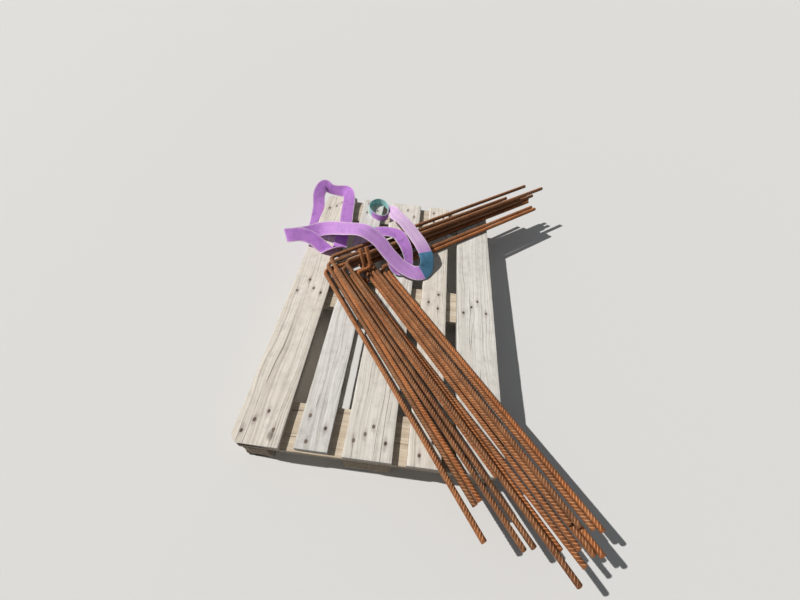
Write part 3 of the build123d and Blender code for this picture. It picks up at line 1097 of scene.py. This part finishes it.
def make_sling():
    violet = webbing_material(
        "violet_webbing", length=BODY_LENGTH,
        body=(0.67, 0.255, 0.88), edge=(0.98, 0.75, 0.98), deep=(0.47, 0.165, 0.68),
    )
    teal = webbing_material(
        "teal_sleeve", body=(0.09, 0.29, 0.49), edge=(0.15, 0.37, 0.55), deep=(0.055, 0.21, 0.37),
    )
    lining = webbing_material(
        "eye_lining", body=(0.40, 0.80, 0.79), edge=(0.62, 0.90, 0.88), deep=(0.22, 0.56, 0.58),
    )
    stations = SLING_FRONT + SLING_TURN + SLING_BACK + SLING_END
    body_rows = smooth_rows(width_rows(stations), False, BODY_STEP)
    near_rows = smooth_rows(width_rows(EYE_NEAR), True, EYE_STEP)
    far_rows = smooth_rows(width_rows(EYE_FAR), False, EYE_STEP)
    right = body_rows[:, 0] > OUTER_CORNER[0] + SLEEVE_FROM_X
    near = body_rows[:, 1] < OUTER_CORNER[1] + SLEEVE_TO_Y

    sleeve, _, _ = make_band(
        "sling_sleeve", body_rows[right & near], [teal], 4.0,
        thickness=SLEEVE_THICKNESS, widen=SLEEVE_WIDER,
    )
    body = make_band("sling_body", body_rows, [violet], 3.0)
    near_eye = make_band(
        "sling_eye_by_the_end", near_rows, [violet, lining], 7.0,
        lining=lambda share: (NEAR_EYE_LINED[0] < share < NEAR_EYE_LINED[1], True),
        thickness=EYE_THICKNESS, closed=True, begins=EYE_BEGINS,
    )
    far_eye = make_band(
        "sling_eye_over_the_bars", far_rows, [violet, lining], 9.0,
        lining=lambda share: (share < FAR_EYE_LINED_TO, True), begins=EYE_BEGINS,
    )
    bands = (
        (["sling_front", "sling_back"], body, [sleeve],
         ["bar_top_1", "bar_hooked_high", "deck_board_left"]),
        (["sling_eye_near"], near_eye, [], ["deck_board_left_inner"]),
        (["sling_eye_far"], far_eye, [], ["bar_top_1", "bar_top_2"]),
    )
    for nodes, (band, length, width), with_pieces, rests_on in bands:
        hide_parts(*nodes)
        declare_band(band, length, width, rests_on, with_pieces)


# Floor and light

# Half the floor's side, in metres
FLOOR_REACH = 30.0
SKY_STRENGTH = 0.14
BACKDROP_STRENGTH = 1.0
# The way the sunlight travels, its width in the sky in degrees, and its energy
SUN_WAY = (0.94, -0.06, -1.0)
SUN_WIDTH = 0.8
SUN_ENERGY = 3.35


def plain_material(name, color):
    n = Nodes(name)
    return n.finish(color, 0.9, n.bump(n.noise(n.position(), 3.0), 0.0002))


def make_floor():
    mesh = bpy.data.meshes.new("floor")
    signs = ((-1, -1), (1, -1), (1, 1), (-1, 1))
    corners = [(x * FLOOR_REACH, y * FLOOR_REACH, 0) for x, y in signs]
    mesh.from_pydata(corners, [], [(0, 1, 2, 3)])
    floor = bpy.data.objects.new("floor", mesh)
    mesh.materials.append(plain_material("floor_paint", (0.78, 0.78, 0.77)))
    bpy.context.scene.collection.objects.link(floor)


def make_world():
    """A dim sky lights the scene. The camera, mirrors and glass see a plain backdrop instead."""
    world = bpy.data.worlds.new("studio")
    world.use_nodes = True
    tree = world.node_tree

    def larger(first, second):
        node = tree.nodes.new("ShaderNodeMath")
        node.operation = "MAXIMUM"
        tree.links.new(first, node.inputs[0])
        tree.links.new(second, node.inputs[1])
        return node.outputs[0]

    sky = tree.nodes["Background"]
    sky.inputs["Color"].default_value = (0.93, 0.96, 1.0, 1)
    sky.inputs["Strength"].default_value = SKY_STRENGTH
    backdrop = tree.nodes.new("ShaderNodeBackground")
    backdrop.inputs["Color"].default_value = (0.80, 0.81, 0.82, 1)
    backdrop.inputs["Strength"].default_value = BACKDROP_STRENGTH
    path = tree.nodes.new("ShaderNodeLightPath").outputs
    seen = tree.nodes.new("ShaderNodeMixShader")
    mirrored = larger(path["Is Glossy Ray"], path["Is Transmission Ray"])
    tree.links.new(larger(path["Is Camera Ray"], mirrored), seen.inputs["Fac"])
    tree.links.new(sky.outputs[0], seen.inputs[1])
    tree.links.new(backdrop.outputs[0], seen.inputs[2])
    tree.links.new(seen.outputs[0], tree.nodes["World Output"].inputs["Surface"])
    bpy.context.scene.world = world


def make_sun():
    light = bpy.data.lights.new("key", "SUN")
    light.angle = radians(SUN_WIDTH)
    light.energy = SUN_ENERGY
    light.color = (1.0, 0.975, 0.94)
    lamp = bpy.data.objects.new("key", light)
    lamp.rotation_euler = Vector(SUN_WAY).to_track_quat("-Z", "Y").to_euler()
    bpy.context.scene.collection.objects.link(lamp)


make_camera()
rust = rust_material()
cut_end = cut_end_material()
bar_source = random.Random(BAR_SEED)
for name, points, radii in bar_routes():
    make_bar(name, points, radii, rust, cut_end, bar_source)
make_pallet()
make_sling()
make_floor()
make_world()
make_sun()
bpy.context.scene.view_settings.view_transform = "Standard"
